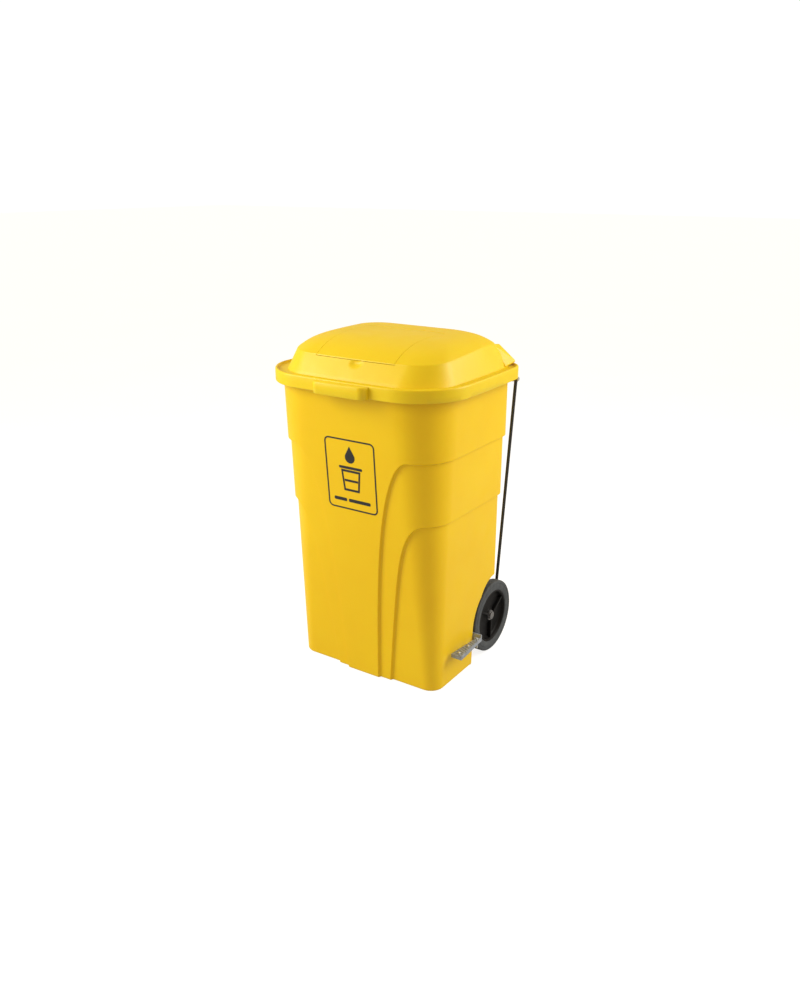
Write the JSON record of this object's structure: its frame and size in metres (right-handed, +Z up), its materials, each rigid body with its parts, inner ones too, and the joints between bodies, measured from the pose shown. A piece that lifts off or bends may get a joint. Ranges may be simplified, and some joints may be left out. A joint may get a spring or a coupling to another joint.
{
  "type": "wheeled pedal waste bin",
  "caption": "Free-standing moulded waste can with a hinged domed lid, a small flap in the lid, two rear wheels and a side pedal that raises the lid through a push rod.",
  "frame": {"origin": "on the floor, in the middle of the flat underside of the tub, on the can's left-right middle plane", "axes": "+X to the right, towards the pedal side; +Y to the back, towards the wheels and the lid hinge; +Z up"},
  "size_m": [0.5648, 0.535, 0.927],
  "materials": {
    "yellow_tub": "satin moulded polyethylene",
    "yellow_lid": "satin moulded polyethylene",
    "yellow_flap": "satin moulded polyethylene",
    "label_black": "printed vinyl",
    "axle_steel": "zinc plated",
    "zinc_hardware": "zinc plated",
    "spacer_plastic": "moulded",
    "tyre_grey": "matt",
    "hub_black": "satin",
    "bush_nylon": "natural nylon",
    "lever_steel": "zinc plated",
    "tread_steel": "ribbed, zinc plated",
    "rod_black": "black powder coat"
  },
  "bodies": {
    "can": {"tub": "yellow_tub", "label": "label_black", "axle": "axle_steel", "axle_spacers": "spacer_plastic", "axle_washers": "zinc_hardware", "axle_caps": "zinc_hardware", "lid_hinge_pins": "zinc_hardware", "lid_pin_clips": "zinc_hardware"},
    "lid_body": {"lid": "yellow_lid", "flap_hinge_pins": "zinc_hardware", "rod_top_pin": "zinc_hardware"},
    "flap_body": {"flap": "yellow_flap"},
    "rod_body": {"push_rod": "rod_black", "rod_clips": "zinc_hardware"},
    "pedal_body": {"pedal_lever": "lever_steel", "pedal_tread": "tread_steel", "pedal_rivets": "zinc_hardware", "lever_bush": "spacer_plastic"},
    "wheel_right": {"tyre_right": "tyre_grey", "hub_right": "hub_black", "bush_right": "bush_nylon"},
    "wheel_left": {"tyre_left": "tyre_grey", "hub_left": "hub_black", "bush_left": "bush_nylon"}
  },
  "joints": [
    {"name": "lid_hinge", "type": "hinge", "parent": "can", "child": "lid_body", "pos_m": [0, 0.233, 0.81], "axis": [-1, 0, 0], "range_deg": [0, 76]},
    {"name": "flap_hinge", "type": "hinge", "parent": "lid_body", "child": "flap_body", "pos_m": [0, 0.06, 0.92], "axis": [-1, 0, 0], "range_deg": [0, 90]},
    {"name": "rod_pivot", "type": "hinge", "parent": "lid_body", "child": "rod_body", "pos_m": [0.253, 0.215, 0.797], "axis": [1, 0, 0], "range_deg": [0, 76]},
    {"name": "pedal_pivot", "type": "hinge", "parent": "can", "child": "pedal_body", "pos_m": [0.1825, 0.177, 0.105], "axis": [1, 0, 0], "range_deg": [0, 18.7]},
    {"name": "wheel_right_spin", "type": "hinge", "parent": "can", "child": "wheel_right", "pos_m": [0.2172, 0.177, 0.105], "axis": [1, 0, 0], "continuous": true},
    {"name": "wheel_left_spin", "type": "hinge", "parent": "can", "child": "wheel_left", "pos_m": [-0.2172, 0.177, 0.105], "axis": [1, 0, 0], "continuous": true}
  ],
  "couplings": [
    {"joint": "rod_pivot", "follows": "lid_hinge", "ratio": 1},
    {"joint": "pedal_pivot", "follows": "lid_hinge", "ratio": 0.246}
  ]
}
